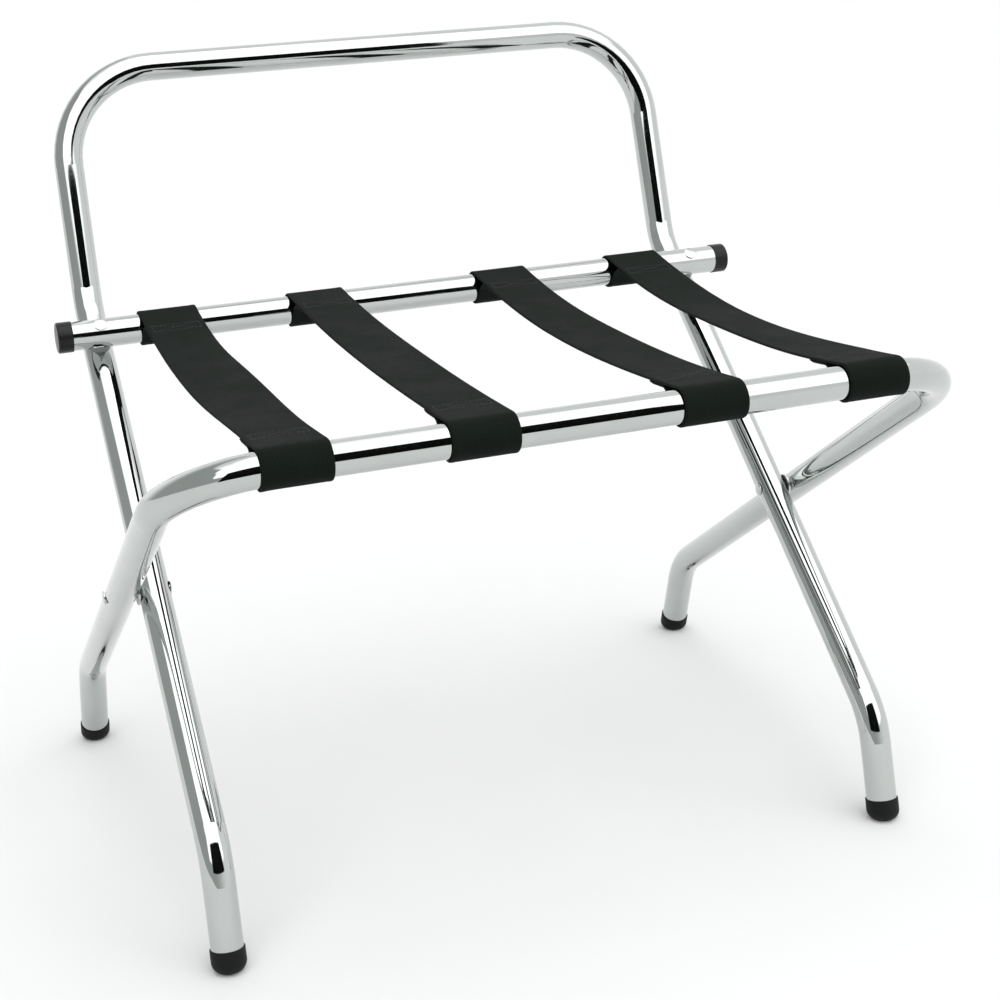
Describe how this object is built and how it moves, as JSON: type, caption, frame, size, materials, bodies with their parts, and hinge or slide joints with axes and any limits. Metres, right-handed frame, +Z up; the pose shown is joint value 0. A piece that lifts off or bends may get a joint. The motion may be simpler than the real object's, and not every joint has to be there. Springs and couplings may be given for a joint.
{
  "type": "folding luggage rack",
  "caption": "Folding luggage rack of bent chrome tube: two crossed frames on side pivots, webbing strap seat, rear crossbar, backrest hoop and rubber feet.",
  "frame": {"origin": "on the floor, under the middle of the overall width and depth", "axes": "+X to the rack's right, +Y to its back where the hoop stands, +Z up"},
  "size_m": [0.6466, 0.5636, 0.6459],
  "materials": {
    "chrome": "polished",
    "webbing": "matte woven",
    "black_plastic": "satin",
    "black_rubber": "matte",
    "grey_plastic": "satin",
    "zinc_steel": "satin"
  },
  "bodies": {
    "back_frame": {"back_frame_tube": "chrome", "rear_crossbar": "chrome", "crossbar_end_cap_left": "black_plastic", "crossbar_saddle_left": "grey_plastic", "crossbar_bolt_left": "chrome", "crossbar_nut_left": "chrome", "pivot_bolt_left": "chrome", "pivot_nut_left": "chrome", "pivot_washer_left": "zinc_steel", "front_foot_left": "black_rubber", "crossbar_end_cap_right": "black_plastic", "crossbar_saddle_right": "grey_plastic", "crossbar_bolt_right": "chrome", "crossbar_nut_right": "chrome", "pivot_bolt_right": "chrome", "pivot_nut_right": "chrome", "pivot_washer_right": "zinc_steel", "front_foot_right": "black_rubber", "strap_1_rear_loop": "webbing", "strap_1_span": "webbing", "strap_2_rear_loop": "webbing", "strap_2_span": "webbing", "strap_3_rear_loop": "webbing", "strap_3_span": "webbing", "strap_4_rear_loop": "webbing", "strap_4_span": "webbing"},
    "front_frame": {"front_frame_tube": "chrome", "pivot_sleeve_left": "zinc_steel", "rear_foot_left": "black_rubber", "pivot_sleeve_right": "zinc_steel", "rear_foot_right": "black_rubber", "strap_1_front_loop": "webbing", "strap_2_front_loop": "webbing", "strap_3_front_loop": "webbing", "strap_4_front_loop": "webbing"}
  },
  "joints": [
    {"name": "fold", "type": "hinge", "parent": "back_frame", "child": "front_frame", "pos_m": [0, -0.00581, 0.2375], "axis": [-1, 0, 0], "range_deg": [0, 92], "deforming": ["strap_1_span", "strap_2_span", "strap_3_span", "strap_4_span"]}
  ]
}
